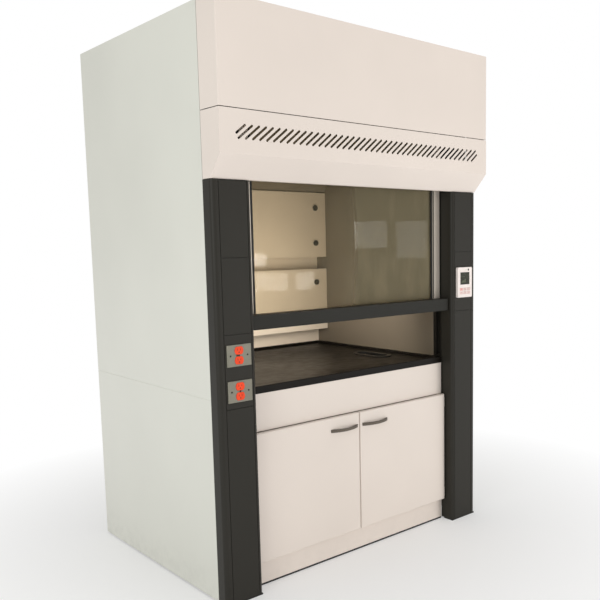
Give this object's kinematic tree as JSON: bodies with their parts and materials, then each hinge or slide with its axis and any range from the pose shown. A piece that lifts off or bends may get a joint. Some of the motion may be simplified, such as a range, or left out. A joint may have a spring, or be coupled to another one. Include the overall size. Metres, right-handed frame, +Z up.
{
  "type": "fume hood",
  "caption": "Floor-standing ducted fume hood: panelled steel body, counterbalanced vertical glass sash, slotted air bypass, baffles, worktop with cup sink and two-door base cabinet.",
  "frame": {"origin": "middle of the footprint on the floor", "axes": "+X to the user's right, +Y to the back, +Z up"},
  "size_m": [1.54, 1.2, 2.41],
  "materials": {
    "side_paint": "satin white epoxy powder coat",
    "front_paint": "satin warm white epoxy powder coat",
    "inner_paint": "satin cream coating",
    "liner_board": "smooth resin-faced board, cream",
    "charcoal_paint": "fine-textured charcoal powder coat",
    "charcoal_trim": "satin charcoal",
    "galvanised": "galvanised sheet",
    "stainless": "brushed stainless",
    "stile_aluminium": "satin anodised",
    "bar_aluminium": "charcoal powder coat",
    "sash_glass": "clear laminated glass with a faint warm tint",
    "lens": "opal diffuser",
    "lamp": "fluorescent tube",
    "black_rubber": "matt",
    "black_plastic": "moulded",
    "white_plastic": "moulded",
    "nylon": "moulded nylon",
    "orange_plastic": "moulded",
    "screen": "dark display window",
    "key_grey": "moulded",
    "key_red": "moulded",
    "worktop_black": "semi-gloss epoxy resin",
    "iron": "painted",
    "steel": "bright",
    "handle_metal": "satin grey",
    "black_screw": "blackened screw heads"
  },
  "bodies": {
    "cabinet": {"side_panels_left": "side_paint", "side_panels_right": "side_paint", "rear_panels": "side_paint", "panel_screws": "steel", "top_panel": "side_paint", "exhaust_collar": "galvanised", "collar_bolts": "steel", "head_access_panel": "front_paint", "bypass_fascia": "front_paint", "frame_uprights": "galvanised", "frame_rails": "galvanised", "post_left": "charcoal_paint", "post_right": "charcoal_paint", "post_cover_plates": "charcoal_paint", "outlet_cover_plate": "charcoal_paint", "outlet_plates": "stainless", "outlet_receptacles": "orange_plastic", "outlet_boxes": "galvanised", "outlet_screws": "black_screw", "controller_housing": "white_plastic", "controller_screen": "screen", "liner_sides": "liner_board", "liner_back": "liner_board", "ceiling": "inner_paint", "lamp_housing": "inner_paint", "lamp_tube": "lamp", "lamp_lens": "lens", "baffle_lower": "liner_board", "baffle_upper": "liner_board", "baffle_top": "liner_board", "baffle_standoffs": "steel", "baffle_knobs": "black_plastic", "worktop": "worktop_black", "cup_sink": "black_plastic", "sash_tracks": "charcoal_trim", "pulley_brackets": "steel", "sash_cables": "steel", "cabinet_shell": "inner_paint", "cabinet_front": "front_paint", "door_hinges": "steel", "base_pads": "black_rubber"},
    "sash": {"sash_glass": "sash_glass", "sash_bar": "bar_aluminium", "sash_stiles": "stile_aluminium", "sash_gaskets": "black_rubber", "sash_shoes": "nylon"},
    "left_door": {"door_left": "front_paint", "handle_left": "handle_metal"},
    "right_door": {"door_right": "front_paint", "handle_right": "handle_metal"},
    "left_weight": {"counterweight_left": "iron"},
    "right_weight": {"counterweight_right": "iron"},
    "left_pulley": {"pulley_left": "nylon"},
    "right_pulley": {"pulley_right": "nylon"},
    "key_power": {"key_power": "key_red"},
    "key_fan": {"key_fan": "key_grey"},
    "key_lamp": {"key_lamp": "key_grey"},
    "key_up": {"key_up": "key_grey"},
    "key_down": {"key_down": "key_grey"},
    "key_set": {"key_set": "key_grey"}
  },
  "joints": [
    {"name": "sash_slide", "type": "slide", "parent": "cabinet", "child": "sash", "axis": [0, 0, 1], "range_m": [-0.23, 0.35], "deforming": ["sash_cables"]},
    {"name": "left_weight_slide", "type": "slide", "parent": "cabinet", "child": "left_weight", "axis": [0, 0, 1], "range_m": [-0.35, 0.23]},
    {"name": "right_weight_slide", "type": "slide", "parent": "cabinet", "child": "right_weight", "axis": [0, 0, 1], "range_m": [-0.35, 0.23]},
    {"name": "left_pulley_spin", "type": "hinge", "parent": "cabinet", "child": "left_pulley", "pos_m": [-0.63, -0.436, 2.25], "axis": [0, 1, 0], "range_deg": [-674, 674]},
    {"name": "right_pulley_spin", "type": "hinge", "parent": "cabinet", "child": "right_pulley", "pos_m": [0.63, -0.436, 2.25], "axis": [0, 1, 0], "range_deg": [-674, 674]},
    {"name": "right_door_hinge", "type": "hinge", "parent": "cabinet", "child": "right_door", "pos_m": [0.579, -0.472, 0.388], "axis": [0, 0, 1], "range_deg": [0, 90]},
    {"name": "left_door_hinge", "type": "hinge", "parent": "cabinet", "child": "left_door", "pos_m": [-0.579, -0.472, 0.388], "axis": [0, 0, -1], "range_deg": [0, 90]},
    {"name": "key_power_press", "type": "slide", "parent": "cabinet", "child": "key_power", "axis": [0, 1, 0], "range_m": [0, 0.0008], "stiffness_N_per_m": 600, "springref_m": -0.0005},
    {"name": "key_fan_press", "type": "slide", "parent": "cabinet", "child": "key_fan", "axis": [0, 1, 0], "range_m": [0, 0.0008], "stiffness_N_per_m": 600, "springref_m": -0.0005},
    {"name": "key_lamp_press", "type": "slide", "parent": "cabinet", "child": "key_lamp", "axis": [0, 1, 0], "range_m": [0, 0.0008], "stiffness_N_per_m": 600, "springref_m": -0.0005},
    {"name": "key_up_press", "type": "slide", "parent": "cabinet", "child": "key_up", "axis": [0, 1, 0], "range_m": [0, 0.0008], "stiffness_N_per_m": 600, "springref_m": -0.0005},
    {"name": "key_down_press", "type": "slide", "parent": "cabinet", "child": "key_down", "axis": [0, 1, 0], "range_m": [0, 0.0008], "stiffness_N_per_m": 600, "springref_m": -0.0005},
    {"name": "key_set_press", "type": "slide", "parent": "cabinet", "child": "key_set", "axis": [0, 1, 0], "range_m": [0, 0.0008], "stiffness_N_per_m": 600, "springref_m": -0.0005}
  ],
  "couplings": [
    {"joint": "left_weight_slide", "follows": "sash_slide", "ratio": -1},
    {"joint": "right_weight_slide", "follows": "sash_slide", "ratio": -1},
    {"joint": "right_pulley_spin", "follows": "sash_slide", "rad_per_m": 33.333},
    {"joint": "left_pulley_spin", "follows": "sash_slide", "rad_per_m": -33.333}
  ]
}
